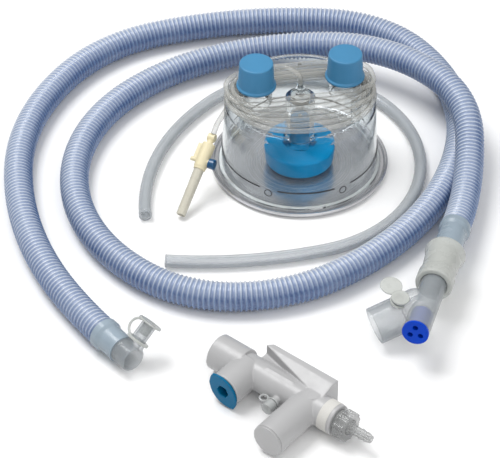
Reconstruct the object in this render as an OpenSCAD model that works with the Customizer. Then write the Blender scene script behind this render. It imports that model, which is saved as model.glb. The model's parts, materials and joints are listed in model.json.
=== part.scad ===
// Heated-humidifier breathing circuit for a mechanical ventilator.
// Four assemblies lie on one flat surface: a self-filling water chamber with
// its feed line and bag spike, a heated corrugated hose with an end fitting at
// each end, a loose smooth tube, and a white gas manifold.
// Frame: millimetres, +Z up, origin under the centre of the chamber's base.

/* [Chamber] */
// Outer diameter of the metal base's rim
base_d = 127; // [125:1:129]
// Height of the chamber's flat ceiling, outside
ceiling_h = 60; // [60:1:61]
// Outer diameter of the clear wall at its foot
wall_foot_d = 112; // [111:1:113]
// Outer diameter of the clear wall under its shoulder
wall_top_d = 107; // [106:1:108]
// Distance between the two gas ports
port_spacing = 63; // [62:1:64]
// Turn of the port line from the X axis, degrees
port_yaw = 10; // [0:1:20]
// Diameter of a conical gas port, the breathing-circuit standard
port_d = 22; // [22]
// Height of the two caps' tops
cap_top_h = 92.4; // [91:0.1:94]
// Diameter of the water float
float_d = 51; // [48:1:52]
// How far the water float rises to shut the valve
float_travel = 14; // [10:1:14]

/* [Feed line and bag spike] */
// Outer diameter of the thin feed tube
feed_tube_d = 3.8; // [3.4:0.1:4.2]
// Where the spike's ball end sits
spike_pivot = [-62.2, -17.4, 36];
// Heading of the spike, degrees
spike_yaw = -115.5; // [-120:0.1:-112]
// How far the spike points down, degrees
spike_dip = 33.2; // [30:0.1:34]
// Length from the ball end to the sheath's mouth
spike_len = 60; // [56:1:60]

/* [Heated hose] */
// Outer diameter of the hose over its corrugations
hose_d = 20.6; // [20:0.1:21]
// Clear bore of the hose
hose_bore_d = 16.4; // [15:0.1:17]
// Heading of the hose as it leaves the patient end, degrees
hose_yaw = 128.9; // [128:0.1:130]
// Where the hose leaves the patient end
hose_start = [-130.8, -190.4, 10.9];
// How the hose lies: [bend radius, turn to the right, lift of the bend's plane]
hose_bends = [
    [399, 6.6, 0], [275, 29.5, 0], [187, 36, 0], [128, 37.5, 0],
    [310, 24, 0], [91, 50.5, 0], [152, 44, 0], [212, 48.5, 0],
    [125, 32.5, 0], [94, 35.5, 0], [138, 97.5, 0], [156, 31, 5.5],
    [124, 38, 17], [161, 33.5, -10.5], [86, 41.5, -15.5], [197, 25, 57.5]
];

/* [Patient end] */
// Distance from the hose's end to the connector's mouth
mouth_x = 32.4; // [31:0.1:34]
// Bore of the patient connector, the 15 mm standard
mouth_d = 15; // [15]
// Angle of the probe port above the surface, degrees
probe_lift = 41; // [30:1:60]

/* [Chamber end] */
// Distance from the hose's end to the electrical socket's face
socket_x = 127; // [124:1:130]
// Distance from the hose's end to the elbow's branch
branch_x = 95; // [92:1:98]
// Angle between the hose's line and the elbow's branch, degrees
branch_turn = 69; // [60:1:90]
// How far the branch is rolled below the surface's plane, degrees
branch_drop = 26; // [25:1:28]
// Length of the branch from the socket's axis to its mouth
branch_len = 38; // [36:1:40]

/* [Smooth tube] */
// Outer diameter of the smooth tube
tube_d = 9; // [8.5:0.1:9.5]
// Bore of the smooth tube
tube_bore_d = 6; // [5:0.1:6.5]
// Where the smooth tube starts
tube_start = [-108.2, -65.3, 4.7];
// Heading of the smooth tube at its start, degrees
tube_yaw = 95.7; // [94:0.1:97]
// How the smooth tube lies: [bend radius, turn to the right, lift]
tube_bends = [
    [168, 49, 0], [84, 51, 0], [85, 49.5, 0], [106, 64, 0], [97, 46, 0], [300, 21, 0]
];

/* [Manifold] */
// Where the manifold's open end lies
manifold_start = [-60.6, -205.2, 12.4];
// Heading of the manifold's barrel, degrees
manifold_yaw = -39.5; // [-45:0.5:-35]
// Length of the white barrel
barrel_len = 104; // [102:1:106]
// Outer diameter of the barrel
barrel_d = 20.6; // [20:0.1:21]
// Distance from the open end to the plugged port
plug_port_x = 32; // [31:1:33]
// Distance from the open end to the long port
long_port_x = 81; // [80:1:82]
// Reach of the long port from the barrel's axis
long_port_reach = 42.2; // [38:0.1:44]
// Distance from the open end to the small sampling port
sample_port_x = 63; // [60:1:64]

/* [Hidden] */
$fn = 64;
eps = 0.02;             // gap between pieces that rest against each other
cut = 1;                // how far a cutter runs past the face it opens
slip = 0.05;            // radial gap of a plug, cap or shaft in its hole

// Chamber
plate_t = 1.2;
ledge_h = 2.8;
seal_t = 0.8;
shell_foot_z = ledge_h + seal_t + 2 * eps;
shell_t = 1.8;
shoulder_r = 6;
wall_foot_r = wall_foot_d / 2;
wall_top_r = wall_top_d / 2;
shoulder_z = ceiling_h - shoulder_r;
ceiling_under = ceiling_h - shell_t;
port_r = port_d / 2;
port_bore_r = 9.5;
cap_len = 19.8;
port_top_z = cap_top_h - 4;
port_x = port_spacing / 2;
feed_hole_r = 2;
cap_foot_z = cap_top_h - cap_len;
float_r = float_d / 2;
float_z = 4;
float_rim_z = 18.2;
float_well_r = 12;
float_well_z = 8;
stem_r = 7;
stem_top_z = 42;
guide_r = 10.5;
guide_foot_z = float_well_z + float_travel + 2;
pin_r = 1.2;
seat_t = 1.6;
second_xy = [0, 38];
second_r = 8;
second_z = 10;
second_h = 12;
second_pin_r = 1.5;
line_t = 0.25;
line_h = 1.1;
line_z = 16;

// Feed line: the wound band narrows from a wide oval to a belt round the ports
coil_foot_z = ceiling_h + 0.3;
coil_top_z = cap_foot_z - 0.2;
coil_foot = [52, 34];
coil_foot_y = -9.5;
coil_top_r = 16.5;
coil_centre_x = port_x;
coil_wall = 3.8;

// Bag spike
spike_ball_r = 3;
spike_neck_r = 2.2;
barrel_x = 5;
barrel_r = 4.7;
spike_barrel_len = 23;
needle_r = 2.2;
drip_bore_r = 1.2;
sheath_r = 3.3;
sheath_bore_r = 2.6;
vent_x = 18.5;
vent_r = 2.6;
vent_reach = 8.2;
vent_cap_r = 3.7;

// Hose and its frames
hose_r = hose_d / 2;
hose_bore_r = hose_bore_d / 2;
wire_r = 1.4;
patient_stub = 3.7;
chamber_stub = 12;
joint_gap = 0.5;
joint_band = 4;
cuff_r = 9.7;
cuff_bore_r = 7.4;
cuff_x = 19.7;
cuff_grip = 4;

// Patient end
connector_r = 8.6;
mouth_r = mouth_d / 2;
probe_x = mouth_x - 6.4;
probe_r = 5.15;
probe_bore_r = 3.8;
probe_reach = 24.5;
probe_disc_r = 8.4;

// Chamber end
sleeve_x = 50;
collar_x = 38;
collar_end_x = 76;
spigot_r = 8.8;
spigot_bore_r = 7.4;
elbow_r = 12.6;
elbow_bore_r = 11;
elbow_bore_len = 22;
insert_r = 7.3;
pin_ring_r = 3.9;
socket_hole_r = 1.8;
elbow_port_reach = 22.5;
elbow_port_out = 18.4;
elbow_port_lean = 30;

// Manifold
barrel_rad = barrel_d / 2;
manifold_bore_r = 8;
open_collar_x = 6;
open_collar_r = 12.2;
open_collar_len = 23;
open_bore_r = 11;
open_bore_len = 20;
plug_port_r = 11.6;
plug_port_reach = 25;
long_port_r = 11;
sample_r = 3.1;
sample_reach = 20;
sample_bore_r = 2;
long_cap_t = 1.4;
block_x = 35.5;
block_len = 55;
block_w = 17.5;
block_top = 14;
block_foot = -9.5;
wall_y = 13;
ledge_top = 6.6;
pad_x = 83;
label_gap = 2.5;
label_len = 7;
relief_bore_r = 5.4;
relief_seat = 8.6;
relief_cover_t = 1.2;
relief_x = 70;
nut_x = barrel_len + 2;
nut_len = 8;
nut_r = 10;
nipple_end_x = 130;

// ---------- Frames ----------
function move(v) = [[1, 0, 0, v[0]], [0, 1, 0, v[1]], [0, 0, 1, v[2]], [0, 0, 0, 1]];
function turn_x(a) = [[1, 0, 0, 0], [0, cos(a), -sin(a), 0], [0, sin(a), cos(a), 0], [0, 0, 0, 1]];
function turn_z(a) = [[cos(a), -sin(a), 0, 0], [sin(a), cos(a), 0, 0], [0, 0, 1, 0], [0, 0, 0, 1]];

// Matrix from the start of one bend to its end; +X runs along the tube
function bend_matrix(b) =
    turn_x(-b[2]) * move([0, -b[0], 0]) * turn_z(-b[1]) * move([0, b[0], 0]) * turn_x(b[2]);

// Frames at the start of every bend, and at the end of the last one
function run_frames(start, bends, i = 0) =
    i == len(bends) ? [start] : concat([start], run_frames(start * bend_matrix(bends[i]), bends, i + 1));

hose_frames = run_frames(move(hose_start) * turn_z(hose_yaw), hose_bends);
tube_frames = run_frames(move(tube_start) * turn_z(tube_yaw), tube_bends);

module at_ports(side) {
    rotate([0, 0, port_yaw]) translate([side * port_x, 0, 0]) children();
}
// +X runs from the spike's ball end to its tip
module at_spike() {
    translate(spike_pivot) rotate([0, spike_dip, spike_yaw]) children();
}
// +X runs out of the patient connector's mouth
module at_patient_end() {
    multmatrix(hose_frames[0]) rotate([0, 0, 180]) children();
}
// +Y leaves the patient connector along its probe port
module at_probe_port() {
    at_patient_end() translate([probe_x, 0, 0]) rotate([180 + probe_lift, 0, 0]) mirror([0, 1, 0]) children();
}
// +X runs from the hose's end to the socket's face
module at_chamber_end() {
    multmatrix(hose_frames[len(hose_bends)]) children();
}
// +X leaves the elbow along its branch
module at_branch() {
    at_chamber_end() translate([branch_x, 0, 0]) rotate([branch_drop, 0, 0])
        rotate([0, 0, -branch_turn]) children();
}
// +Z leaves the branch along its own probe port
module at_branch_port() {
    at_branch() translate([elbow_port_reach, 0, 0]) rotate([-branch_drop, 0, 0])
        rotate([0, -elbow_port_lean, 0]) children();
}
module at_manifold() {
    translate(manifold_start) rotate([0, 0, manifold_yaw]) children();
}

// ---------- Shared shapes ----------
// Body of revolution along +X from [distance, radius] points
module turned(points) {
    rotate([0, 90, 0]) rotate_extrude() polygon([for (p = points) [p[1], p[0]]]);
}
// Tube along +X
module pipe(x0, x1, outer, inner) {
    turned([[x0, inner], [x1, inner], [x1, outer], [x0, outer]]);
}
module rod(x0, x1, r) {
    translate([x0, 0, 0]) rotate([0, 90, 0]) cylinder(r = r, h = x1 - x0);
}
// One bend of a tube, cut back a little at both ends
module bend_tube(b, outer, inner) {
    trim = joint_gap / b[0] * 90 / PI;
    rotate([-b[2], 0, 0]) translate([0, -b[0], 0]) rotate([0, 0, 90 - b[1] + trim])
        rotate_extrude(angle = b[1] - 2 * trim) translate([b[0], 0]) difference() {
            circle(r = outer);
            if (inner > 0) circle(r = inner);
        }
}
// A whole lay of bends, joined by short bands
module tube_run(frames, bends, outer, inner) {
    band_bore = inner > 0 ? inner - 0.2 : 0;
    for (i = [0 : len(bends) - 1]) multmatrix(frames[i]) bend_tube(bends[i], outer, inner);
    for (i = [1 : len(bends) - 1]) multmatrix(frames[i])
        if (inner > 0) pipe(-joint_band / 2, joint_band / 2, outer + 0.2, band_bore);
        else rod(-joint_band / 2, joint_band / 2, outer + 0.2);
}

// ---------- Chamber ----------
module base_plate() {
    rim = base_d / 2;
    color("silver") rotate_extrude() polygon([
        [0, 0], [rim - 10.5, 0], [rim - 9, 1.4], [rim - 1.5, 1.4], [rim, 2.2], [rim, 3.4],
        [rim - 0.8, 4], [rim - 2, 3.6], [rim - 3, ledge_h], [rim - 9.5, ledge_h],
        [rim - 11, plate_t], [0, plate_t]
    ]);
}
module base_seal() {
    color("gainsboro") rotate_extrude()
        translate([wall_foot_r - 1.5, ledge_h + eps]) square([3, seal_t]);
}
module shell_profile() {
    foot_r = wall_foot_r + 2.5;
    flange_z = shell_foot_z + 1.3;
    arc_centre = [wall_top_r - shoulder_r, shoulder_z];
    inner_arc = shoulder_r - shell_t;
    polygon(concat(
        [[feed_hole_r, ceiling_under], [feed_hole_r, ceiling_h]],
        [for (a = [90 : -10 : 0]) arc_centre + shoulder_r * [cos(a), sin(a)]],
        [[wall_foot_r, flange_z], [foot_r, flange_z], [foot_r, shell_foot_z],
         [wall_foot_r - shell_t, shell_foot_z]],
        [for (a = [0 : 10 : 90]) arc_centre + inner_arc * [cos(a), sin(a)]]
    ));
}
module chamber_shell() {
    color("lightcyan", 0.35) difference() {
        union() {
            rotate_extrude() shell_profile();
            for (side = [-1, 1]) at_ports(side)
                translate([0, 0, ceiling_under]) cylinder(r = port_r, h = port_top_z - ceiling_under);
        }
        for (side = [-1, 1]) at_ports(side)
            translate([0, 0, ceiling_under - cut]) cylinder(r = port_bore_r, h = port_top_z);
    }
}
// Broken fill ring round the foot of the wall, and two plain ring marks in its gaps
module level_line() {
    slope = (wall_foot_r - wall_top_r) / (shoulder_z - shell_foot_z);
    wall_r = wall_foot_r - slope * (line_z - shell_foot_z) + 0.1;
    mark_angles = [246, 302];
    mark_half_gap = 7;
    arcs = [[mark_angles[0], mark_angles[1]], [mark_angles[1], mark_angles[0] + 360]];
    color("black") {
        for (a = arcs) rotate([0, 0, a[0] + mark_half_gap])
            rotate_extrude(angle = a[1] - a[0] - 2 * mark_half_gap)
                translate([wall_r, line_z]) square([line_t, line_h]);
        for (a = mark_angles) rotate([0, 0, a]) translate([wall_r + 0.3, 0, line_z - 2.5])
            rotate([0, 90, 0]) difference() {
                cylinder(r = 3, h = line_t);
                translate([0, 0, -cut]) cylinder(r = 2.4, h = line_t + 2 * cut);
            }
    }
}
// Push-on cap with a flared foot
module port_cap() {
    bore = port_r + slip;
    height = cap_top_h - cap_foot_z;
    translate([0, 0, cap_foot_z]) rotate_extrude() polygon([
        [0, height], [bore + 0.2, height], [bore + 0.8, height - 0.5], [bore + 1.7, 2.4],
        [bore + 2.9, 1.8], [bore + 2.9, 0], [bore, 0],
        [bore, port_top_z - cap_foot_z + 0.5], [0, port_top_z - cap_foot_z + 0.5]
    ]);
}
module inlet_cap() { color("steelblue") at_ports(-1) port_cap(); }
module outlet_cap() { color("steelblue") at_ports(1) port_cap(); }
module water_float() {
    color("deepskyblue") difference() {
        rotate_extrude() polygon([
            [0, float_z], [float_r - 2.5, float_z], [float_r - 1.3, float_z + 1],
            [float_r, float_rim_z - 1.2], [float_r - 0.5, float_rim_z],
            [float_well_r + 1, float_rim_z + 2.6], [float_well_r, float_rim_z + 2.6],
            [float_well_r, float_well_z], [stem_r, float_well_z], [stem_r, stem_top_z],
            [0, stem_top_z]
        ]);
        translate([0, 0, stem_top_z - 6]) cylinder(r = pin_r + eps, h = 6 + cut);
    }
}
module valve_pin() {
    color("white") rotate_extrude() polygon([
        [0, stem_top_z - 6 + eps], [pin_r, stem_top_z - 6 + eps], [pin_r, stem_top_z + 1],
        [0.3, stem_top_z + 2], [0, stem_top_z + 2]
    ]);
}
module valve_seat() {
    color("white") translate([0, 0, ceiling_under - eps - seat_t]) difference() {
        cylinder(r = stem_r - 0.2, h = seat_t);
        translate([0, 0, -cut]) cylinder(r = feed_hole_r, h = seat_t + 2 * cut);
    }
}
module float_guide() {
    color("lightcyan", 0.4) translate([0, 0, guide_foot_z]) difference() {
        cylinder(r = guide_r, h = ceiling_under - eps - guide_foot_z);
        translate([0, 0, -cut]) cylinder(r = stem_r + slip, h = ceiling_h);
    }
}
module second_float() {
    color("lightcyan", 0.5) translate([second_xy[0], second_xy[1], second_z]) difference() {
        cylinder(r = second_r, h = second_h);
        translate([0, 0, -cut]) cylinder(r = second_pin_r + slip, h = second_h + 2 * cut);
    }
}
module second_float_pin() {
    head_z = second_z - 2 - eps;
    color("lightcyan", 0.5) translate([second_xy[0], second_xy[1], 0]) union() {
        translate([0, 0, head_z + 1]) cylinder(r = second_pin_r, h = ceiling_under - eps - head_z - 1);
        translate([0, 0, head_z]) cylinder(r = second_pin_r + 1.5, h = 2);
    }
}
// Half-round deflectors that hang under the two ports
module gas_baffles() {
    outer = port_bore_r + 3;
    depth = 22;
    color("lightcyan", 0.4) for (side = [-1, 1]) at_ports(side)
        rotate([0, 0, side * 90 - 90]) translate([0, 0, ceiling_under - eps - depth])
            rotate([0, 0, -75]) rotate_extrude(angle = 150)
                translate([outer - 1.4, 0]) square([1.4, depth]);
}
module feed_port() {
    base_z = ceiling_h + eps;
    color("white", 0.7) difference() {
        union() {
            translate([0, 0, base_z]) cylinder(r = 7, h = 1.6);
            translate([0, 0, base_z]) cylinder(r = 3.4, h = 7);
            translate([0, 0, base_z]) cylinder(r = 1.8, h = 12);
        }
        translate([0, 0, base_z - cut]) cylinder(r = 1, h = 14);
    }
}

// ---------- Feed line ----------
// Solid through the wound band, drawn in by a wall thickness
module coil_solid(inset, over) {
    hull() {
        translate([0, coil_foot_y, coil_foot_z - over]) scale([coil_foot[0] - inset, coil_foot[1] - inset, 1])
            cylinder(r = 1, h = 2 + over);
        for (side = [-1, 1]) translate([side * coil_centre_x, 0, coil_top_z - 2])
            cylinder(r = coil_top_r - inset, h = 2 + over);
    }
}
// The coil of feed tube as one band, with its run down to the spike
module feed_tube() {
    tail_start = [-50.6, -15, coil_foot_z + 2];
    to_pivot = spike_pivot - tail_start;
    reach = norm(to_pivot);
    color("ivory") {
        rotate([0, 0, port_yaw]) difference() {
            coil_solid(0, 0);
            coil_solid(coil_wall, 0.5);
        }
        translate(tail_start) rotate([0, acos(to_pivot[2] / reach), atan2(to_pivot[1], to_pivot[0])])
            cylinder(r = feed_tube_d / 2, h = reach - spike_ball_r - 1.4);
    }
}

// ---------- Bag spike ----------
module spike_body() {
    nub_reach = 9;
    fin_reach = 3;
    color("wheat") at_spike() difference() {
        union() {
            rotate([90, 0, 0]) cylinder(r = spike_ball_r, h = 2 * spike_ball_r - 0.6, center = true);
            rod(0, barrel_x + 1, spike_neck_r);
            rod(barrel_x, spike_barrel_len, barrel_r);
            rod(spike_barrel_len - 1, spike_barrel_len + 2, sheath_r + 1);
            translate([vent_x, 0, 0]) rotate([-90, 0, 0]) cylinder(r = vent_r, h = vent_reach);
            translate([vent_x, 0, 0]) rotate([90, 0, 0]) cylinder(r = 1.5, h = nub_reach);
            translate([barrel_x + 1, -barrel_r - fin_reach, -0.5])
                cube([vent_x - barrel_x - 2, fin_reach + 1, 1]);
        }
        translate([vent_x, barrel_r - 1, 0]) rotate([-90, 0, 0]) cylinder(r = vent_r - 0.6, h = vent_reach);
        rod(spike_barrel_len - 4, spike_barrel_len + 2 + cut, needle_r + eps);
        rod(-spike_ball_r - cut, spike_barrel_len, drip_bore_r);
    }
}
module spike_needle() {
    root = spike_barrel_len - 4 + eps;
    color("ivory") at_spike() turned([
        [root, 0.6], [spike_len - 1, 0.6], [spike_len - 1, 0.9], [spike_len - 10, needle_r - 0.2],
        [spike_barrel_len + 3, needle_r], [root, needle_r]
    ]);
}
module spike_sheath() {
    color("ivory", 0.8) at_spike()
        turned([
            [spike_barrel_len + 2 + eps, sheath_bore_r], [spike_len, sheath_bore_r],
            [spike_len, sheath_r - 0.2], [spike_len - 0.6, sheath_r],
            [spike_barrel_len + 2 + eps, sheath_r + 0.3]
        ]);
}
module vent_filter() {
    color("white") at_spike() translate([vent_x, barrel_r + 0.6, 0]) rotate([-90, 0, 0])
        cylinder(r = vent_r - 0.6 - eps, h = 0.8);
}
module vent_cap() {
    color("steelblue") at_spike() translate([vent_x, barrel_r + 0.5, 0]) rotate([-90, 0, 0])
        difference() {
            cylinder(r = vent_cap_r, h = vent_reach - barrel_r + 1);
            translate([0, 0, -cut]) cylinder(r = vent_r + slip, h = vent_reach - barrel_r - 0.4 + cut);
        }
}

// ---------- Heated hose ----------
// The corrugated hose, with a straight stub at each end that runs on into its cuff
module hose() {
    color("lightsteelblue") {
        tube_run(hose_frames, hose_bends, hose_r, hose_bore_r);
        at_patient_end() pipe(-joint_gap - 1, patient_stub, hose_r - 0.2, hose_bore_r - 0.2);
        at_chamber_end() pipe(-joint_gap - 1, chamber_stub, hose_r - 0.2, hose_bore_r - 0.2);
    }
}
module heater_wire() { color("white") tube_run(hose_frames, hose_bends, wire_r, 0); }

// Cuff that takes the hose's end in a flared rim and a fitting's spigot in its bore
module end_cuff(hose_x, length, spigot_depth, spigot_bore) {
    rim_r = hose_r + 0.6;
    turned([
        [hose_x - cuff_grip, hose_r + slip], [hose_x + eps, hose_r + slip], [hose_x + eps, cuff_bore_r],
        [length - spigot_depth, cuff_bore_r], [length - spigot_depth, spigot_bore],
        [length, spigot_bore], [length, cuff_r - 0.3], [hose_x + 3, cuff_r], [hose_x + 0.5, rim_r],
        [hose_x - cuff_grip, rim_r]
    ]);
}
module patient_cuff() {
    color("lightblue", 0.8) at_patient_end() end_cuff(patient_stub, cuff_x, 9, mouth_r + 0.7 + slip);
}
module patient_connector() {
    back = cuff_x - 9 + eps;
    color("whitesmoke", 0.6) difference() {
        union() {
            at_patient_end() turned([
                [back, 0], [back, mouth_r + 0.7], [cuff_x + eps, mouth_r + 0.7],
                [cuff_x + eps, connector_r + 0.3], [mouth_x - 1, connector_r],
                [mouth_x, connector_r - 0.3], [mouth_x, 0]
            ]);
            at_probe_port() rotate([-90, 0, 0]) {
                cylinder(r = probe_r, h = probe_reach);
                cylinder(r = probe_r + 1.1, h = connector_r + 2);
            }
        }
        at_patient_end() turned([
            [back - cut, 0], [back - cut, mouth_r - 0.6], [mouth_x - 18, mouth_r - 0.6],
            [mouth_x - 18, mouth_r], [mouth_x + cut, mouth_r], [mouth_x + cut, 0]
        ]);
        at_probe_port() rotate([-90, 0, 0]) cylinder(r = probe_bore_r, h = probe_reach + cut);
    }
}
// Plug with a wide disc; it fills a probe port from the outside
module probe_plug(reach, disc_r, depth) {
    rotate_extrude() polygon([
        [0, reach - depth], [probe_bore_r - slip - 0.3, reach - depth],
        [probe_bore_r - slip, reach - depth + 0.6],
        [probe_bore_r - slip, reach + eps], [disc_r, reach + eps], [disc_r, reach + 1.4], [0, reach + 1.4]
    ]);
}
module patient_plug() {
    color("whitesmoke") at_probe_port() rotate([-90, 0, 0]) probe_plug(probe_reach, probe_disc_r, 8);
}
// Ring round the port's foot, and a thin band that bows from it up to the plug's disc
module patient_plug_strap() {
    wire = 0.9;
    ring_r = probe_r + 2.8;
    ring_y = connector_r + 2 + eps;
    band_foot = ring_y + wire;
    band_top = probe_reach - wire - eps;
    bow = (band_top - band_foot) / 2;
    color("whitesmoke") at_probe_port() {
        translate([0, ring_y, 0]) rotate([-90, 0, 0]) difference() {
            cylinder(r = ring_r, h = 2 * wire);
            translate([0, 0, -cut]) cylinder(r = probe_r + slip, h = 2 * wire + 2 * cut);
        }
        translate([-ring_r + wire, band_foot + bow, 0]) rotate([0, 0, 90])
            rotate_extrude(angle = 180) translate([bow, 0]) circle(r = wire);
    }
}
module chamber_cuff() {
    color("lightblue", 0.8) at_chamber_end() end_cuff(chamber_stub, sleeve_x, 4, cuff_bore_r);
}
module swivel_collar() {
    flare = 14;
    waist = 11.8;
    color("ivory", 0.75) at_chamber_end() turned([
        [collar_x, cuff_r + slip], [sleeve_x + 1, cuff_r + slip], [sleeve_x + 1, cuff_bore_r],
        [sleeve_x + 3, cuff_bore_r], [sleeve_x + 3, spigot_r + slip], [collar_end_x, spigot_r + slip],
        [collar_end_x, waist], [collar_end_x - 1, waist + 0.6], [collar_end_x - 10, waist + 0.8],
        [collar_end_x - 11, waist], [collar_x + 18, waist], [collar_x + 8, flare - 1.4],
        [collar_x + 4, flare - 0.4], [collar_x + 2.5, flare], [collar_x + 1, flare - 0.3],
        [collar_x, flare - 1.4]
    ]);
}
module swivel_seal() {
    color("white") at_chamber_end() pipe(sleeve_x + 3 + eps, sleeve_x + 4.5, spigot_r, cuff_bore_r + 0.2);
}
module elbow() {
    back = sleeve_x + 5;
    color("lightcyan", 0.5) difference() {
        union() {
            at_chamber_end() rod(back, socket_x, spigot_r);
            at_branch() translate([8, 0, 0]) sphere(r = elbow_r);
            at_branch() rod(8, branch_len, elbow_r);
            at_branch_port() cylinder(r = probe_r, h = elbow_port_out);
        }
        at_chamber_end() rod(back - cut, branch_x + 10, spigot_bore_r);
        at_chamber_end() rod(branch_x + 12, socket_x + cut, insert_r + slip);
        at_branch() rod(2, branch_len + cut, 7);
        at_branch() rod(branch_len - elbow_bore_len, branch_len + cut, elbow_bore_r);
        at_branch_port() cylinder(r = probe_bore_r, h = elbow_port_out + cut);
    }
}
module elbow_plug() {
    color("whitesmoke") at_branch_port() probe_plug(elbow_port_out, 6, 5);
}
// Half ring on the port's neck, joined to the round tab that hangs beside the plug
module elbow_plug_strap() {
    tab_r = 7.4;
    tab_t = 1.3;
    tab_at = [2, -13, elbow_port_out - 3];
    color("whitesmoke") at_branch_port() difference() {
        union() {
            translate([0, 0, tab_at[2]]) cylinder(r = probe_r + 1.3, h = tab_t);
            translate(tab_at) cylinder(r = tab_r, h = tab_t);
        }
        translate([0, 0, tab_at[2] - cut]) cylinder(r = probe_r + slip, h = tab_t + 2 * cut);
        translate([-2 * tab_r - 1, -tab_r, tab_at[2] - cut]) cube([2 * tab_r, 3 * tab_r, tab_t + 2 * cut]);
    }
}
module socket_insert() {
    flange_t = 1.6;
    color("blue") at_chamber_end() difference() {
        union() {
            rod(branch_x + 14, socket_x + eps + flange_t / 2, insert_r);
            rod(socket_x + eps, socket_x + eps + flange_t, spigot_r);
        }
        for (a = [90, 210, 330]) rotate([a, 0, 0]) translate([0, pin_ring_r, 0])
            rod(branch_x + 18, socket_x + flange_t + cut, socket_hole_r);
    }
}
// Three metal pins that stand in the socket's holes
module socket_contacts() {
    color("gold") at_chamber_end() for (a = [90, 210, 330]) rotate([a, 0, 0])
        translate([0, pin_ring_r, 0]) rod(branch_x + 18 + eps, socket_x - 4, 0.7);
}

// ---------- Smooth tube ----------
module smooth_tube() {
    color("lightgrey", 0.6) tube_run(tube_frames, tube_bends, tube_d / 2, tube_bore_d / 2);
}

// ---------- Manifold ----------
// Housing behind the barrel: a tall narrow wall on a low ledge, with a ramp that widens towards the nut
module relief_block() {
    edge = 1.2;
    corner = 4;
    slice = 0.5;
    ramp_foot = ledge_top - 1.6;
    translate([block_x, 0, 0]) rotate([90, 0, 90]) {
        difference() {
            linear_extrude(block_len) polygon([
                [0, block_foot], [block_w - edge, block_foot], [block_w, block_foot + edge],
                [block_w, block_top - edge], [block_w - edge, block_top], [wall_y, block_top],
                [wall_y, ledge_top], [0, ledge_top]
            ]);
            translate([block_w, 0, 0]) rotate([0, 45, 0])
                cube([corner * sqrt(2), 3 * block_w, corner * sqrt(2)], center = true);
        }
        hull() {
            translate([wall_y, ramp_foot, slice]) cube([1, block_top - ramp_foot, slice]);
            translate([0, 0, block_len - slice]) linear_extrude(slice) polygon([
                [wall_y + 1, ramp_foot], [wall_y + 1, block_top], [wall_y - 1, block_top],
                [-1, barrel_rad - 0.7], [0, ramp_foot]
            ]);
        }
    }
}
module side_port(x, r, reach) {
    translate([x, 0, 0]) rotate([90, 0, 0]) cylinder(r = r, h = reach);
}
// +Z runs out of the relief valve, square to the barrel
module at_relief() {
    translate([relief_x, 0, 0]) rotate([-90, 0, 0]) children();
}
module manifold_body() {
    neck_r = 9;
    color("white") at_manifold() difference() {
        union() {
            rod(open_collar_x, open_collar_x + open_collar_len, open_collar_r);
            rod(open_collar_x + open_collar_len - 1, barrel_len, barrel_rad);
            side_port(plug_port_x, plug_port_r, plug_port_reach);
            side_port(long_port_x, long_port_r, long_port_reach - long_cap_t - eps);
            side_port(sample_port_x, sample_r, sample_reach);
            relief_block();
            translate([pad_x, 0, 0]) cylinder(r = 5, h = barrel_rad + 0.5);
            translate([0, 0, barrel_rad - 0.5]) rod(block_x + 11, block_x + 33, 1);
        }
        rod(open_collar_x - cut, open_collar_x + open_bore_len, open_bore_r);
        rod(open_collar_x + open_bore_len - cut, barrel_len - 6, manifold_bore_r);
        rod(barrel_len - 7, barrel_len + cut, 5.5);
        side_port(plug_port_x, neck_r + 0.5, plug_port_reach + cut);
        side_port(long_port_x, neck_r, long_port_reach + cut);
        side_port(sample_port_x, sample_bore_r, sample_reach + cut);
        at_relief() translate([0, 0, relief_seat]) cylinder(r = relief_bore_r, h = block_w);
        at_relief() cylinder(r = 3, h = block_w);
    }
}
module long_port_cover() {
    color("white") at_manifold()
        translate([long_port_x, -long_port_reach + long_cap_t, 0]) rotate([90, 0, 0]) {
        cylinder(r = long_port_r - 0.3, h = long_cap_t);
        translate([0, 0, -3]) cylinder(r = 9 - eps, h = 3.5);
    }
}
// Blue plug with a hexagonal recess and two finger points on its rim
module port_plug() {
    rim_arc_r = 14.1;
    rim_offset = 4.1;
    rim_turn = -51.5;
    color("dodgerblue") at_manifold() translate([plug_port_x, -plug_port_reach - eps, 0]) rotate([90, 0, 0])
        difference() {
            union() {
                rotate([0, 0, rim_turn]) intersection() {
                    translate([0, -rim_offset, 0]) cylinder(r = rim_arc_r, h = 1.6);
                    translate([0, rim_offset, 0]) cylinder(r = rim_arc_r, h = 1.6);
                }
                translate([0, 0, -9]) cylinder(r = 9.5 - slip, h = 9.5);
            }
            translate([0, 0, -6]) cylinder(r = 4.6, h = 9, $fn = 6);
        }
}
module sample_cap() {
    top = sample_reach + 1.2;
    color("whitesmoke", 0.7) at_manifold() translate([sample_port_x, 0, 0]) rotate([90, 0, 0]) difference() {
        translate([0, 0, sample_reach - 5]) cylinder(r = sample_r + 1, h = top - sample_reach + 5);
        translate([0, 0, sample_reach - 6]) cylinder(r = sample_r + slip, h = 6 + eps);
    }
}
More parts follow.
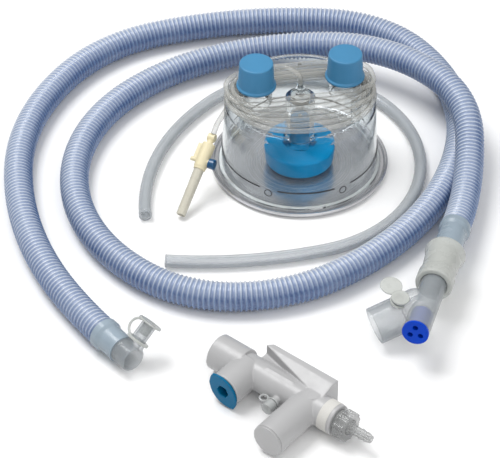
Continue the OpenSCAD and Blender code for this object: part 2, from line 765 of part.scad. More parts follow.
// Ring round the small port's neck, with the loop of its strap beside it
module sample_cap_strap() {
    loop_r = 2.7;
    loop_x = 7.5;
    ring_y = sample_reach - 6.8;
    color("whitesmoke", 0.7) at_manifold() translate([sample_port_x, 0, 0]) difference() {
        union() {
            translate([0, -ring_y, 0]) rotate([90, 0, 0]) cylinder(r = sample_r + 1.2, h = 1.4);
            translate([-loop_x, -ring_y - 0.7, 0]) rotate_extrude() translate([loop_r, 0]) circle(r = 0.7);
        }
        rotate([90, 0, 0]) cylinder(r = sample_r + slip, h = sample_reach);
    }
}
module relief_cover() {
    hole_ring = 3.2;
    color("white") at_manifold() at_relief() translate([0, 0, block_w - relief_cover_t]) difference() {
        cylinder(r = relief_bore_r - eps, h = relief_cover_t);
        for (a = [0 : 60 : 300]) rotate([0, 0, a]) translate([hole_ring, 0, -cut])
            cylinder(r = 0.7, h = relief_cover_t + 2 * cut);
    }
}
module relief_disc() {
    color("white") at_manifold() at_relief() translate([0, 0, relief_seat + eps]) union() {
        cylinder(r = relief_bore_r - 0.4, h = 1);
        cylinder(r = 1.4, h = 2.2);
    }
}
// Coil spring as a stack of rings on a thin seam
module relief_spring() {
    coils = 3;
    wire = 0.3;
    coil_r = 2.4;
    foot = relief_seat + 1 + 2 * eps + wire;
    top = block_w - relief_cover_t - eps - wire;
    color("silver") at_manifold() at_relief() union() {
        for (i = [0 : coils]) translate([0, 0, foot + i * (top - foot) / coils])
            rotate_extrude() translate([coil_r, 0]) circle(r = wire, $fn = 24);
        translate([coil_r, 0, foot]) cylinder(r = wire * 0.8, h = top - foot, $fn = 24);
    }
}
module oxygen_nipple() {
    root = barrel_len - 6 + eps;
    color("whitesmoke", 0.6) at_manifold() turned([
        [root, 1.3], [nipple_end_x, 1.3], [nipple_end_x, 2.4], [nipple_end_x - 4, 3.4],
        [nipple_end_x - 4, 2.8], [nipple_end_x - 8, 3.6], [nipple_end_x - 8, 2.9],
        [nut_x + nut_len + 1, 3.6], [nut_x + nut_len + 0.2, 5], [barrel_len + 0.1, 5.4], [root, 5.4]
    ]);
}
module nipple_seal() {
    color("dimgray") at_manifold() pipe(barrel_len + 0.1, barrel_len + 1.6, 8, 5.45);
}
// Hand nut with ribs round its rim; it turns on the nipple
module oxygen_nut() {
    ribs = 12;
    color("whitesmoke", 0.6) at_manifold() difference() {
        union() {
            rod(nut_x, nut_x + nut_len, nut_r - 0.8);
            for (i = [0 : ribs - 1]) rotate([i * 360 / ribs, 0, 0]) translate([nut_x, nut_r - 1.4, 0])
                rod(0, nut_len, 1.4);
        }
        rod(nut_x - cut, nut_x + nut_len + cut, 5.4 + slip);
    }
}
module label_band() {
    color("white") at_manifold() pipe(
        barrel_len - label_gap - label_len, barrel_len - label_gap, barrel_rad + 0.2, barrel_rad + eps
    );
}

base_plate();
base_seal();
chamber_shell();
level_line();
inlet_cap();
outlet_cap();
water_float();
valve_pin();
valve_seat();
float_guide();
second_float();
second_float_pin();
gas_baffles();
feed_port();
feed_tube();
spike_body();
spike_needle();
spike_sheath();
vent_filter();
vent_cap();
hose();
heater_wire();
patient_cuff();
patient_connector();
patient_plug();
patient_plug_strap();
chamber_cuff();
swivel_collar();
swivel_seal();
elbow();
elbow_plug();
elbow_plug_strap();
socket_insert();
socket_contacts();
smooth_tube();
manifold_body();
long_port_cover();
port_plug();
sample_cap();
sample_cap_strap();
relief_cover();
relief_disc();
relief_spring();
oxygen_nipple();
nipple_seal();
oxygen_nut();
label_band();
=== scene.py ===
"""Looks for a ventilator's humidifier breathing circuit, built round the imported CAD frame."""

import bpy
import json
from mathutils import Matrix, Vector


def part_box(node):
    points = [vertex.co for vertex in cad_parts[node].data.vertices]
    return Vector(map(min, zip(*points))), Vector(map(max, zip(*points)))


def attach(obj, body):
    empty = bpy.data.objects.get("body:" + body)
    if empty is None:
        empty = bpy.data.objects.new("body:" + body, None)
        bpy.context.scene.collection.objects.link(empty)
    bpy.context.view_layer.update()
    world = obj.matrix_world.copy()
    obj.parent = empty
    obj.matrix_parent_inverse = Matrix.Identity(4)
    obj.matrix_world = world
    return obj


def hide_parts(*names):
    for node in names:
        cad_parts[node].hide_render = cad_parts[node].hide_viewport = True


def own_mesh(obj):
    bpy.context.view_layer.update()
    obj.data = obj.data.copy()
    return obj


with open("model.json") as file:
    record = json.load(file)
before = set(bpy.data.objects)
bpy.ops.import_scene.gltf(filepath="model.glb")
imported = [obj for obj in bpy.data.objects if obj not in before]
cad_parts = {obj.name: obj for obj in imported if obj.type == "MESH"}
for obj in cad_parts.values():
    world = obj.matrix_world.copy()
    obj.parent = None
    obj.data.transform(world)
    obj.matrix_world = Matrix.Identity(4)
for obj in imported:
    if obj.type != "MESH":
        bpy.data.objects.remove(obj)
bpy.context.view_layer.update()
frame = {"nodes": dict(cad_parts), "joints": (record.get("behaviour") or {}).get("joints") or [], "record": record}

import json
import math

import bpy
import numpy as np
from mathutils import Matrix, Vector, noise

MM = 0.001
RECORD = frame["record"]
MOUNTS = {m["name"]: m for m in RECORD["mounts"]}
JOINTS = {j["name"]: j for j in frame["joints"]}

# The hose's and the tube's lay, as in the CAD. Each bend is its radius in mm, its turn to the right
# and the lift of its plane, both in degrees
HOSE_BENDS = [
    (399, 6.6, 0), (275, 29.5, 0), (187, 36, 0), (128, 37.5, 0),
    (310, 24, 0), (91, 50.5, 0), (152, 44, 0), (212, 48.5, 0),
    (125, 32.5, 0), (94, 35.5, 0), (138, 97.5, 0), (156, 31, 5.5),
    (124, 38, 17), (161, 33.5, -10.5), (86, 41.5, -15.5), (197, 25, 57.5),
]
HOSE_YAW = 128.9
MOUTH_X = 32.4 * MM
TUBE_BENDS = [(168, 49, 0), (84, 51, 0), (85, 49.5, 0), (106, 64, 0), (97, 46, 0), (300, 21, 0)]
TUBE_YAW = 95.7
TUBE_START = Vector((-108.2, -65.3, 4.7)) * MM

HOSE_R = 10.3 * MM
HOSE_RIB = 1.05 * MM
HOSE_PITCH = 3.3 * MM
HOSE_BEFORE = 3.7 * MM
HOSE_PAST = 12.0 * MM
TUBE_R = 4.5 * MM
TUBE_BORE_R = 3.0 * MM
FEED_R = 1.9 * MM
FEED_TURNS = 7.12
TAIL_STEPS = 12  # points between two of the wound line's guide points, at its ends
WANDER = 0.8  # how far the wound line strays from its even lay, in mm
WANDER_SEED = 4
PORT_YAW = math.radians(10)


# ---------- Lays and frames ----------
def turn(axis, degrees):
    return Matrix.Rotation(math.radians(degrees), 4, axis)


def bend_step(radius, right, lift):
    """Matrix from a bend's start to a point `right` degrees along it; +X runs along the tube."""
    reach = Vector((0, radius, 0))
    return (turn("X", -lift) @ Matrix.Translation(-reach) @ turn("Z", -right)
            @ Matrix.Translation(reach) @ turn("X", lift))


def lay_length(bends):
    return sum(math.radians(b[1]) * b[0] * MM for b in bends)


def lay_frames(start, bends, distances):
    """Frames at the given distances, in metres, along a lay; it runs straight before and past its bends."""
    frames = []
    here, passed, index = start, 0.0, 0
    for s in distances:
        while index < len(bends) and s > passed + lay_length(bends[index:index + 1]):
            radius, right, lift = bends[index]
            here = here @ bend_step(radius * MM, right, lift)
            passed += lay_length(bends[index:index + 1])
            index += 1
        if s < 0 or index == len(bends):
            frames.append(here @ Matrix.Translation((s - passed, 0, 0)))
        else:
            radius, right, lift = bends[index]
            part = math.degrees((s - passed) / (radius * MM))
            frames.append(here @ bend_step(radius * MM, part, lift))
    return frames


def carried_frames(points, up=Vector((0, 0, 1))):
    """Frames along a polyline, +X forward, with the side axis carried from point to point."""
    frames = []
    side = None
    for i, p in enumerate(points):
        ahead = points[min(i + 1, len(points) - 1)]
        behind = points[max(i - 1, 0)]
        forward = (ahead - behind).normalized()
        if side is None:
            side = up.cross(forward)
            if side.length < 1e-6:
                side = Vector((0, 1, 0))
        side = (side - forward * side.dot(forward)).normalized()
        m = Matrix((forward, side, forward.cross(side))).transposed().to_4x4()
        m.translation = p
        frames.append(m)
    return frames


def smooth_curve(controls, steps):
    """Catmull-Rom points through a few control points."""
    pts = [controls[0] * 2 - controls[1]] + list(controls) + [controls[-1] * 2 - controls[-2]]
    out = []
    for a, b, c, d in zip(pts, pts[1:], pts[2:], pts[3:]):
        for i in range(steps):
            t = i / steps
            out.append(0.5 * (2 * b + (c - a) * t + (2 * a - 5 * b + 4 * c - d) * t * t
                              + (3 * b - a - 3 * c + d) * t ** 3))
    out.append(controls[-1].copy())
    return out


# ---------- Mesh builders ----------
def new_object(name, verts, faces, smooth=True):
    mesh = bpy.data.meshes.new(name)
    mesh.from_pydata([tuple(v) for v in verts], [], faces)
    mesh.validate()
    mesh.polygons.foreach_set("use_smooth", [smooth] * len(mesh.polygons))
    obj = bpy.data.objects.new(name, mesh)
    bpy.context.scene.collection.objects.link(obj)
    return obj


def ring_faces(first, second, sides):
    return [(first + i, first + (i + 1) % sides, second + (i + 1) % sides, second + i) for i in range(sides)]


def tube_mesh(name, frames, radii, sides, bores=None):
    """A swept tube. With bores it is hollow, and its ends are rings; without, its ends are discs."""
    verts, faces = [], []

    def add_rings(ring_radii):
        first = len(verts)
        for m, r in zip(frames, ring_radii):
            for i in range(sides):
                a = 2 * math.pi * i / sides
                verts.append(m @ Vector((0, r * math.cos(a), r * math.sin(a))))
        return first

    outer = add_rings(radii)
    last = len(frames) - 1
    for k in range(last):
        faces += ring_faces(outer + k * sides, outer + (k + 1) * sides, sides)
    if bores is None:
        faces.append(tuple(outer + i for i in reversed(range(sides))))
        faces.append(tuple(outer + last * sides + i for i in range(sides)))
    else:
        inner = add_rings(bores)
        for k in range(last):
            faces += ring_faces(inner + (k + 1) * sides, inner + k * sides, sides)
        faces += ring_faces(inner, outer, sides)
        faces += ring_faces(outer + last * sides, inner + last * sides, sides)
    return new_object(name, verts, faces)


def lathe(name, profile, matrix, sides=96):
    """A body of revolution about local +X from a closed outline of (distance, radius) points."""
    verts, faces, rings = [], [], []
    for x, r in profile:
        if r < 1e-7:
            rings.append((len(verts), True))
            verts.append(matrix @ Vector((x, 0, 0)))
        else:
            rings.append((len(verts), False))
            for i in range(sides):
                a = 2 * math.pi * i / sides
                verts.append(matrix @ Vector((x, r * math.cos(a), r * math.sin(a))))
    for (a, a_pole), (b, b_pole) in zip(rings, rings[1:] + rings[:1]):
        if a_pole and b_pole:
            continue
        if a_pole:
            faces += [(a, b + (i + 1) % sides, b + i) for i in range(sides)]
        elif b_pole:
            faces += [(a + i, a + (i + 1) % sides, b) for i in range(sides)]
        else:
            faces += ring_faces(a, b, sides)
    return new_object(name, verts, faces)


def rounded(points, radius, steps=4):
    """The outline with each corner cut to an arc-like curve; points with radius 0 stay sharp."""
    out = []
    count = len(points)
    for i, p in enumerate(points):
        x, y = p[0], p[1]
        r = p[2] if len(p) > 2 else radius
        before, after = points[i - 1], points[(i + 1) % count]
        to_before = Vector((before[0] - x, before[1] - y))
        to_after = Vector((after[0] - x, after[1] - y))
        r = min(r, to_before.length * 0.45, to_after.length * 0.45)
        if r < 1e-7:
            out.append((x, y))
            continue
        start = Vector((x, y)) + to_before.normalized() * r
        end = Vector((x, y)) + to_after.normalized() * r
        for k in range(steps + 1):
            t = k / steps
            q = start * (1 - t) ** 2 + Vector((x, y)) * 2 * t * (1 - t) + end * t * t
            out.append((q.x, q.y))
    return out


def add_modifier(obj, kind, **values):
    m = obj.modifiers.new(kind.title(), kind)
    for key, value in values.items():
        setattr(m, key, value)
    return m


# ---------- Materials ----------
class Look:
    """A node material with the few helpers that every look here shares."""

    def __init__(self, name):
        self.mat = bpy.data.materials.new(name)
        self.mat.use_nodes = True
        self.nodes = self.mat.node_tree.nodes
        self.links = self.mat.node_tree.links
        self.bsdf = self.nodes["Principled BSDF"]
        coords = self.nodes.new("ShaderNodeTexCoord")
        self.coords = coords.outputs["Object"]

    def add(self, kind, inputs=None, **values):
        node = self.nodes.new(kind)
        for key, value in values.items():
            setattr(node, key, value)
        for key, value in (inputs or {}).items():
            self.put(node, key, value)
        return node

    def put(self, node, key, value):
        if isinstance(value, bpy.types.NodeSocket):
            self.links.new(value, node.inputs[key])
        else:
            node.inputs[key].default_value = value

    def set(self, **values):
        for key, value in values.items():
            self.put(self.bsdf, key.replace("_", " "), value)

    def noise(self, scale, detail=3.0, stretch=None):
        vector = self.coords
        if stretch:
            vector = self.add("ShaderNodeMapping", {"Vector": vector, "Scale": stretch}).outputs[0]
        grain = self.add("ShaderNodeTexNoise", {"Vector": vector, "Scale": scale, "Detail": detail})
        return grain.outputs["Fac"]

    def ramp(self, value, low, high):
        """Remap value from 0.3..0.7, where noise lives, to low..high."""
        return self.remap(value, 0.3, 0.7, low, high)

    def remap(self, value, from_min, from_max, low, high):
        spread = self.add("ShaderNodeMapRange", {
            "Value": value, "From Min": from_min, "From Max": from_max, "To Min": low, "To Max": high})
        return spread.outputs[0]

    def mix(self, factor, a, b):
        node = self.add("ShaderNodeMix", data_type="RGBA")
        self.put(node, 0, factor)
        self.put(node, 6, a)
        self.put(node, 7, b)
        return node.outputs[2]

    def bump(self, height, strength, distance):
        node = self.add("ShaderNodeBump", {"Height": height, "Strength": strength, "Distance": distance})
        self.set(Normal=node.outputs[0])
        return node

    def facing(self, blend=0.5):
        return self.add("ShaderNodeLayerWeight", {"Blend": blend}).outputs["Facing"]


def rgba(r, g, b):
    return (r, g, b, 1.0)


def shade(colour, factor):
    return (colour[0] * factor, colour[1] * factor, colour[2] * factor, 1.0)


def moulded(name, colour, rough=0.4, vary=0.06, grain=900.0, bump=0.15, soft=0.0, coat=0.0, specular=0.5):
    """Moulded plastic: slow colour drift, fine skin grain and uneven polish."""
    look = Look(name)
    drift = look.noise(45.0, 3.0)
    look.set(Base_Color=look.mix(look.ramp(drift, 0, 1), shade(colour, 1 - vary), shade(colour, 1 + vary)))
    look.set(Roughness=look.ramp(look.noise(220.0, 4.0), rough - 0.05, rough + 0.07))
    look.set(Specular_IOR_Level=specular)
    look.bump(look.noise(grain, 2.0), bump, 0.00008)
    if soft:
        look.set(Subsurface_Weight=soft, Subsurface_Radius=(0.004, 0.004, 0.004), Subsurface_Scale=1.0)
    if coat:
        look.set(Coat_Weight=coat, Coat_Roughness=0.15)
    return look.mat


def see_through(name, colour, centre, edge, rough=0.12, edge_shade=0.45, bump=0.1, blend=0.35):
    """Clear or milky plastic: thin to the eye face on and denser towards its edges, where painted shade darkens
    its colour.
    """
    look = Look(name)
    facing = look.facing(blend)
    drift = look.ramp(look.noise(60.0, 3.0), 0.94, 1.05)
    # Painted shade: the colour darkens by edge_shade towards grazing angles, standing in for the dark edges of
    # clear plastic.
    lit = look.mix(facing, shade(colour, 1.0), shade(colour, edge_shade))
    tinted = look.add("ShaderNodeVectorMath", operation="SCALE")
    look.links.new(lit, tinted.inputs[0])
    look.links.new(drift, tinted.inputs["Scale"])
    look.set(Base_Color=tinted.outputs[0])
    look.set(Alpha=look.remap(facing, 0.0, 1.0, centre, edge))
    look.set(Roughness=look.ramp(look.noise(150.0, 3.0), rough * 0.7, rough * 1.4), IOR=1.5)
    look.bump(look.noise(120.0, 2.0), bump, 0.0002)
    return look.mat


def clear_plastic(name, tint, edge, rough=0.008, lamp_share=0.93):
    """Clear moulded wall that bends light, with painted shade darkening its colour towards its edges; lamps shine
    through, less a little.
    """
    look = Look(name)
    flow = look.noise(34.0, 3.0, stretch=(1.0, 1.0, 0.25))
    tone = look.mix(look.ramp(flow, 0, 1), shade(tint, 0.96), shade(tint, 1.0))
    # Painted shade: at grazing angles the colour turns to the dark edge tint.
    look.set(Base_Color=look.mix(look.facing(0.25), tone, shade(edge, 1.0)))
    look.set(Transmission_Weight=1.0, IOR=1.46, Specular_IOR_Level=0.0, Specular_Tint=rgba(0.25, 0.27, 0.28))
    look.set(Roughness=look.ramp(look.noise(200.0, 2.0), rough, rough * 2))
    look.bump(flow, 0.22, 0.0012)
    path = look.add("ShaderNodeLightPath")
    lamp = look.add("ShaderNodeBsdfTransparent", {"Color": (lamp_share, lamp_share, lamp_share, 1.0)})
    pick = look.add("ShaderNodeMixShader", {0: path.outputs["Is Shadow Ray"]})
    look.links.new(look.bsdf.outputs[0], pick.inputs[1])
    look.links.new(lamp.outputs[0], pick.inputs[2])
    look.links.new(pick.outputs[0], look.nodes["Material Output"].inputs["Surface"])
    return look.mat


def spun_metal(name):
    """Spun aluminium: fine rings about the base's axis, in bump, shade and polish."""
    look = Look(name)
    split = look.add("ShaderNodeSeparateXYZ", {"Vector": look.coords})
    flat = look.add("ShaderNodeCombineXYZ", {"X": split.outputs[0], "Y": split.outputs[1]})
    radius = look.add("ShaderNodeVectorMath", {0: flat.outputs[0]}, operation="LENGTH").outputs["Value"]
    rings = look.add("ShaderNodeTexNoise", {"W": radius, "Scale": 2600.0, "Detail": 4.0},
                     noise_dimensions="1D").outputs["Fac"]
    cloud = look.noise(28.0, 4.0)
    tone = look.mix(look.ramp(cloud, 0, 1), rgba(0.45, 0.46, 0.48), rgba(0.63, 0.63, 0.65))
    look.set(Base_Color=look.mix(look.ramp(rings, 0.0, 0.35), tone, rgba(0.80, 0.80, 0.82)))
    look.set(Metallic=0.85, Roughness=look.ramp(rings, 0.16, 0.28))
    look.bump(rings, 0.25, 0.00006)
    return look.mat


def metal(name, colour, rough=0.25):
    look = Look(name)
    grain = look.noise(700.0, 3.0)
    look.set(Base_Color=look.mix(look.ramp(grain, 0, 1), shade(colour, 0.85), shade(colour, 1.1)))
    look.set(Metallic=1.0, Roughness=look.ramp(grain, rough - 0.06, rough + 0.1))
    look.bump(grain, 0.1, 0.00004)
    return look.mat


def hose_plastic(name):
    """Thin blue corrugated film: pale crests and deep valleys, with painted shade that darkens and saturates the
    blue on the side turned from the key lamp, and a painted sheen that pales the lit grazing edges.
    """
    look = Look(name)
    ridge = look.add("ShaderNodeAttribute", attribute_name="ridge").outputs["Fac"]
    geometry = look.add("ShaderNodeNewGeometry")
    # Painted shade: how far the surface turns from the key lamp's direction drives a blend to darker, bluer copies
    # of each colour.
    lamp_way = look.add("ShaderNodeVectorMath", {0: geometry.outputs["Normal"], 1: (-0.35, 0.42, 0.84)},
                        operation="DOT_PRODUCT").outputs["Value"]
    painted_lamp_shade = look.remap(lamp_way, -0.1, 0.85, 1.0, 0.0)
    # Each colour below is a lit copy and a painted-shade copy. The crests' pale colour is partly the ribs' own
    # paler plastic and partly a painted highlight. The valleys' depth is partly painted shade.
    valley = look.mix(painted_lamp_shade, rgba(0.19, 0.26, 0.44), rgba(0.02, 0.06, 0.20))
    crest = look.mix(painted_lamp_shade, rgba(0.70, 0.74, 0.77), rgba(0.12, 0.21, 0.40))
    body = look.mix(ridge, valley, crest)
    blotch = look.ramp(look.noise(38.0, 3.0), 0.0, 0.2)
    # Painted sheen: grazing edges that face the key lamp are mixed towards pale grey-white.
    painted_grazing_sheen = look.remap(look.facing(0.4), 0.35, 0.95, 0.0, 0.55)
    painted_lit_sheen = look.add("ShaderNodeMath", {0: painted_grazing_sheen, 1: look.remap(lamp_way, 0.1, 0.7, 0.0, 1.0)},
                        operation="MULTIPLY").outputs[0]
    body = look.mix(blotch, body, rgba(0.46, 0.53, 0.64))
    look.set(Base_Color=look.mix(painted_lit_sheen, body, rgba(0.72, 0.74, 0.78)))
    look.set(Roughness=look.ramp(look.noise(400.0, 3.0), 0.2, 0.34))
    look.set(Coat_Weight=0.5, Coat_Roughness=0.12)
    look.bump(look.noise(900.0, 2.0), 0.12, 0.00008)
    return look.mat


def paper(name):
    look = Look(name)
    fibre = look.noise(1400.0, 5.0, stretch=(1.0, 3.0, 1.0))
    look.set(Base_Color=look.mix(look.ramp(fibre, 0, 1), rgba(0.58, 0.57, 0.54), rgba(0.66, 0.65, 0.62)))
    look.set(Roughness=0.7)
    look.bump(fibre, 0.2, 0.00005)
    return look.mat


LOOKS = {
    "base_metal": spun_metal("spun_aluminium"),
    "seal_silicone": moulded("seal_silicone", (0.55, 0.56, 0.56), rough=0.5),
    # The chamber wall's second colour is the painted shade of its edges.
    "clear_wall": clear_plastic("clear_wall", (0.94, 0.96, 0.965), (0.34, 0.40, 0.44)),
    "printed_line": moulded("printed_ink", (0.015, 0.015, 0.02), rough=0.45),
    "cap_blue": moulded("cap_blue", (0.045, 0.22, 0.41), rough=0.42, bump=0.2),
    "float_blue": moulded("float_blue", (0.0, 0.26, 0.55), rough=0.33, specular=0.1),
    "white_fitting": moulded("white_fitting", (0.66, 0.66, 0.64), rough=0.4),
    "feed_line": see_through("feed_line", (0.66, 0.66, 0.62), 0.2, 0.92, rough=0.08, edge_shade=0.3),
    "spike_cream": moulded("spike_cream", (0.78, 0.70, 0.47), rough=0.38, soft=0.1),
    "sheath_cream": see_through("sheath_cream", (0.72, 0.69, 0.58), 0.78, 1.0, rough=0.25, edge_shade=0.6),
    "vent_blue": moulded("vent_blue", (0.005, 0.075, 0.19), rough=0.22, coat=0.5),
    "hose_blue": hose_plastic("hose_plastic"),
    "wire": moulded("wire_sleeve", (0.6, 0.6, 0.62), rough=0.4),
    "cuff_blue": see_through("cuff_blue", (0.40, 0.49, 0.57), 0.7, 0.97, rough=0.22, edge_shade=0.55),
    "smoke_clear": see_through("smoke_clear", (0.48, 0.52, 0.55), 0.21, 0.9, rough=0.08, edge_shade=0.4),
    "milky_soft": see_through("milky_soft", (0.62, 0.64, 0.61), 0.6, 0.96, rough=0.25, edge_shade=0.66),
    "socket_blue": moulded("socket_blue", (0.0, 0.052, 0.52), rough=0.2, specular=0.12),
    "contact_metal": metal("contact_metal", (0.78, 0.6, 0.25)),
    "tube_clear": see_through("tube_clear", (0.58, 0.62, 0.65), 0.3, 0.93, rough=0.12, edge_shade=0.42),
    "manifold_white": moulded("manifold_white", (0.43, 0.43, 0.435), rough=0.33, vary=0.03),
    "plug_blue": moulded("plug_blue", (0.0, 0.13, 0.27), rough=0.33, specular=0.15),
    "cap_clear": see_through("cap_clear", (0.62, 0.64, 0.64), 0.45, 0.95, rough=0.12, edge_shade=0.45),
    "spring_steel": metal("spring_steel", (0.6, 0.6, 0.6)),
    "nut_clear": see_through("nut_clear", (0.50, 0.51, 0.51), 0.3, 0.95, rough=0.05, edge_shade=0.22),
    "seal_dark": see_through("seal_ring", (0.42, 0.43, 0.43), 0.6, 0.95, rough=0.35, edge_shade=0.6),
    "label_paper": paper("label_paper"),
}
SLOT_OF = {s["node"]: s["material_slot"] for s in RECORD["subparts"]}


def dress(obj, slot):
    obj.data.materials.clear()
    obj.data.materials.append(LOOKS[slot])
    return obj


def stand_for(obj, node, body):
    """The piece takes a CAD node's place, finish and body."""
    dress(obj, SLOT_OF[node])
    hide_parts(node)
    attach(obj, body)
    return obj


# ---------- Heated hose ----------
def hose_start():
    mouth = MOUNTS["patient_mouth"]
    outward = Vector(mouth["axis"])
    end = Vector(mouth["pos_m"]) - outward * (MOUTH_X - 1 * MM)
    return Matrix.Translation(end) @ turn("Z", HOSE_YAW)


def corrugated_hose():
    """One swept skin with a narrow crest and a wide valley in every pitch."""
    length = HOSE_BEFORE + lay_length(HOSE_BENDS) + HOSE_PAST
    stops = (0.0, 0.13, 0.30, 0.70, 0.87)
    distances, ridges = [], []
    for k in range(int(length / HOSE_PITCH)):
        for stop in stops:
            distances.append((k + stop) * HOSE_PITCH - HOSE_BEFORE)
            ridges.append((0.5 + 0.5 * math.cos(2 * math.pi * stop)) ** 2)
    frames = lay_frames(hose_start(), HOSE_BENDS, distances)
    radii = [HOSE_R - HOSE_RIB * (1 - r) for r in ridges]
    sides = 28
    obj = tube_mesh("corrugated_hose", frames, radii, sides, [r - 0.7 * MM for r in radii])
    values = np.repeat(np.array(ridges * 2, np.float32), sides)
    obj.data.attributes.new("ridge", "FLOAT", "POINT").data.foreach_set("value", values)
    return stand_for(obj, "hose", "hose")


def chamber_end():
    """Where the hose ends and the chamber side's fittings begin; +X leaves the hose."""
    return lay_frames(hose_start(), HOSE_BENDS, [lay_length(HOSE_BENDS)])[0]


def swivel_collar():
    """Soft flared sleeve, loose enough round the cuff and the elbow's spigot to turn."""
    outline = [
        (38, 10.1), (50.6, 10.1), (50.6, 9.2), (76, 9.2), (76, 11.9), (75, 12.5), (66, 12.6), (65, 11.7),
        (56, 11.8), (46, 12.6), (42, 13.5), (40.5, 14.0), (39, 13.7), (38, 12.6),
    ]
    profile = rounded([(x * MM, r * MM) for x, r in outline], 0.7 * MM)
    obj = lathe("swivel_sleeve", profile, chamber_end())
    return stand_for(obj, "swivel_collar", "hose")


# ---------- Feed line ----------
# Half-widths and heights of the wound band, turn by turn, in mm, on each side of the two gas ports
def left_end(k):
    return (52.0, 48.2, 44.6)[k % 3], 61.2 + 3.1 * (k // 2)


def right_end(k):
    return (51.5, 47.8, 44.7)[k % 3], 61.0 + 3.2 * (k // 2)


def back_side(k):
    return 23.3 - 3.9 * (k % 3), 62.0 + 3.7 * (k // 3)


def front_side(k):
    return 42.0 - 4.4 * k, 61.9 + 1.4 * k


def coil_point(turns):
    """A point of the wound feed tube; each turn runs left, back, right, front."""
    k = int(turns)
    quarter = int(4 * (turns - k))
    sides = (left_end(k), back_side(k), right_end(k), front_side(k), left_end(k + 1))
    blend = 0.5 - 0.5 * math.cos(math.pi * (4 * (turns - k) - quarter))
    height = sides[quarter][1] * (1 - blend) + sides[quarter + 1][1] * blend
    angle = math.pi - 2 * math.pi * turns
    c, s = math.cos(angle), math.sin(angle)
    half_long = (right_end(k) if c > 0 else left_end(round(turns)))[0]
    half_wide = (back_side(k) if s > 0 else front_side(k))[0]
    power = 2 / (2.2 + 0.12 * turns)
    along = half_long * math.copysign(abs(c) ** power, c)
    across = half_wide * math.copysign(abs(s) ** power, s)
    p = Vector((along, across, height))
    p += noise.noise_vector(Vector((c * 1.6, s * 1.6, turns * 0.8))) * WANDER
    p.rotate(Matrix.Rotation(PORT_YAW, 3, "Z"))
    return p * MM


def feed_coil():
    steps = 72
    noise.seed_set(WANDER_SEED)
    wound = [coil_point(i / steps) for i in range(int(FEED_TURNS * steps) + 1)]
    pivot = Vector(JOINTS["spike_swing"]["pos_m"])
    rise = (wound[0] - pivot).normalized()
    foot = pivot + rise * 3.2 * MM
    clear_of_spike = foot + rise * 9 * MM
    under_band = wound[0] - Vector((0, 3.4, 4.0)) * MM
    tail = smooth_curve([foot, clear_of_spike, under_band, wound[0], wound[3]], TAIL_STEPS)
    port_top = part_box("feed_port")[1].z
    spout = Vector((0, 0, port_top))
    finish = smooth_curve([wound[-4], wound[-1], Vector((-21, 11.5, 75)) * MM, Vector((-10, 7, 79)) * MM,
                           spout + Vector((-1.5, 1, 5)) * MM, spout - Vector((0, 0, 2)) * MM], TAIL_STEPS)
    path = tail[:-TAIL_STEPS - 1] + wound[:-4] + finish
    obj = tube_mesh("feed_tube_coil", carried_frames(path), [FEED_R] * len(path), 14)
    return stand_for(obj, "feed_tube", "chamber")


# ---------- Smooth tube ----------
def smooth_tube():
    length = lay_length(TUBE_BENDS)
    steps = 260
    frames = lay_frames(Matrix.Translation(TUBE_START) @ turn("Z", TUBE_YAW), TUBE_BENDS,
                        [length * i / steps for i in range(steps + 1)])
    obj = tube_mesh("smooth_tube_wall", frames, [TUBE_R] * len(frames), 36, [TUBE_BORE_R] * len(frames))
    return stand_for(obj, "smooth_tube", "smooth_tube")


# ---------- Relief spring ----------
def relief_coil():
    """The valve's spring as a wound wire, three and a half turns."""
    joint = JOINTS["relief_open"]
    axis = Vector(joint["axis"])
    low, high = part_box("relief_spring")
    size = high - low
    across = size.z
    length = (size.x - across * abs(axis.y)) / abs(axis.x)
    wire = 0.3 * MM
    foot = (low + high) / 2 - axis * (length / 2 - wire)
    side = axis.orthogonal().normalized()
    other = axis.cross(side)
    winding = across / 2 - wire
    steps = 84
    points = []
    for i in range(steps + 1):
        angle = 7 * math.pi * i / steps
        ring = (side * math.cos(angle) + other * math.sin(angle)) * winding
        points.append(foot + ring + axis * (length - 2 * wire) * i / steps)
    obj = tube_mesh("relief_coil", carried_frames(points), [wire] * len(points), 10)
    stand_for(obj, "relief_spring", "manifold")
    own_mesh(obj)
    return obj


# ---------- Studio ----------
def paper_floor():
    corners = [(-6, -6, 0), (6, -6, 0), (6, 6, 0), (-6, 6, 0)]
    floor = new_object("studio_floor", corners, [(0, 1, 2, 3)], False)
    look = Look("studio_paper")
    cloud = look.ramp(look.noise(3.0), 0, 1)
    look.set(Base_Color=look.mix(cloud, rgba(0.92, 0.92, 0.92), rgba(0.95, 0.95, 0.95)))
    look.set(Roughness=0.9)
    look.bump(look.noise(400.0), 0.05, 0.0002)
    floor.data.materials.append(look.mat)
    floor.location.z = -0.0004


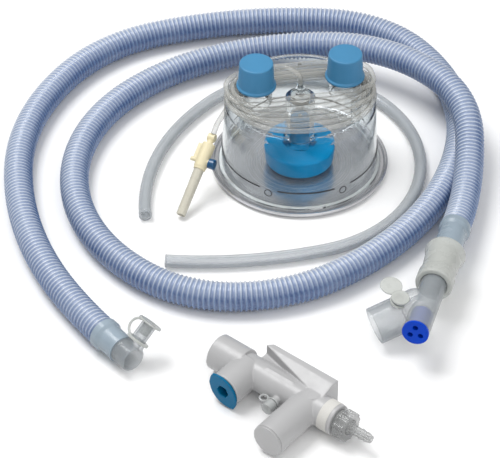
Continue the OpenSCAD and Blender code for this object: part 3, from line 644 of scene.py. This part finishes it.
def sky():
    """A bright ceiling that falls off to grey walls, so clear plastic and metal have something to show."""
    world = bpy.data.worlds.new("studio_world")
    world.use_nodes = True
    tree = world.node_tree
    coords = tree.nodes.new("ShaderNodeTexCoord")
    split = tree.nodes.new("ShaderNodeSeparateXYZ")
    fall = tree.nodes.new("ShaderNodeMapRange")
    fall.inputs["From Min"].default_value = 0.35
    fall.inputs["From Max"].default_value = 0.95
    fall.inputs["To Min"].default_value = 0.32
    fall.inputs["To Max"].default_value = 0.8
    tree.links.new(coords.outputs["Generated"], split.inputs[0])
    tree.links.new(split.outputs[2], fall.inputs["Value"])
    tree.links.new(fall.outputs[0], tree.nodes["Background"].inputs["Color"])
    tree.nodes["Background"].inputs["Strength"].default_value = 1.0
    bpy.context.scene.world = world


def lamp(name, place, size, power):
    data = bpy.data.lights.new(name, "AREA")
    data.size = size
    data.energy = power
    obj = bpy.data.objects.new(name, data)
    obj.location = place
    obj.rotation_euler = (-Vector(place)).to_track_quat("-Z", "Y").to_euler()
    bpy.context.scene.collection.objects.link(obj)


def studio():
    paper_floor()
    sky()
    lamp("key_light", (-0.7, 0.35, 1.8), 1.0, 25)
    lamp("fill_light", (0.6, -1.3, 1.1), 1.4, 9)
    bpy.context.scene.view_settings.view_transform = "Standard"


def camera():
    data = bpy.data.cameras.new("camera")
    data.lens = 160
    data.sensor_width = 36
    data.clip_end = 20
    obj = bpy.data.objects.new("camera", data)
    obj.location = (-0.0354, -1.2431, 1.0091)
    obj.rotation_euler = (math.radians(90 - 40.8), 0, 0)
    bpy.context.scene.collection.objects.link(obj)
    bpy.context.scene.camera = obj


# Pieces whose moulded corners are rounded off, with the grid the rounding works on, in mm
ROUNDED = {
    "manifold_body": 0.5, "elbow": 0.5, "patient_connector": 0.4, "patient_plug": 0.35,
    "patient_plug_strap": 0.3, "spike_body": 0.35, "inlet_cap": 0.45, "outlet_cap": 0.45,
    "water_float": 0.6,
    "elbow_plug": 0.35, "elbow_plug_strap": 0.35, "port_plug": 0.4, "sample_cap": 0.3,
    "sample_cap_strap": 0.3, "oxygen_nut": 0.35, "vent_cap": 0.3, "long_port_cover": 0.4,
}


def carried_over():
    """Every CAD node gets its look; moulded ones are rounded off as well."""
    for name, obj in frame["nodes"].items():
        dress(obj, SLOT_OF[name])
        if name in ROUNDED:
            add_modifier(obj, "REMESH", mode="VOXEL", voxel_size=ROUNDED[name] * MM, use_smooth_shade=True)
            add_modifier(obj, "SMOOTH", factor=0.5, iterations=3)


carried_over()
corrugated_hose()
swivel_collar()
feed_coil()
smooth_tube()
relief_coil()
studio()
camera()
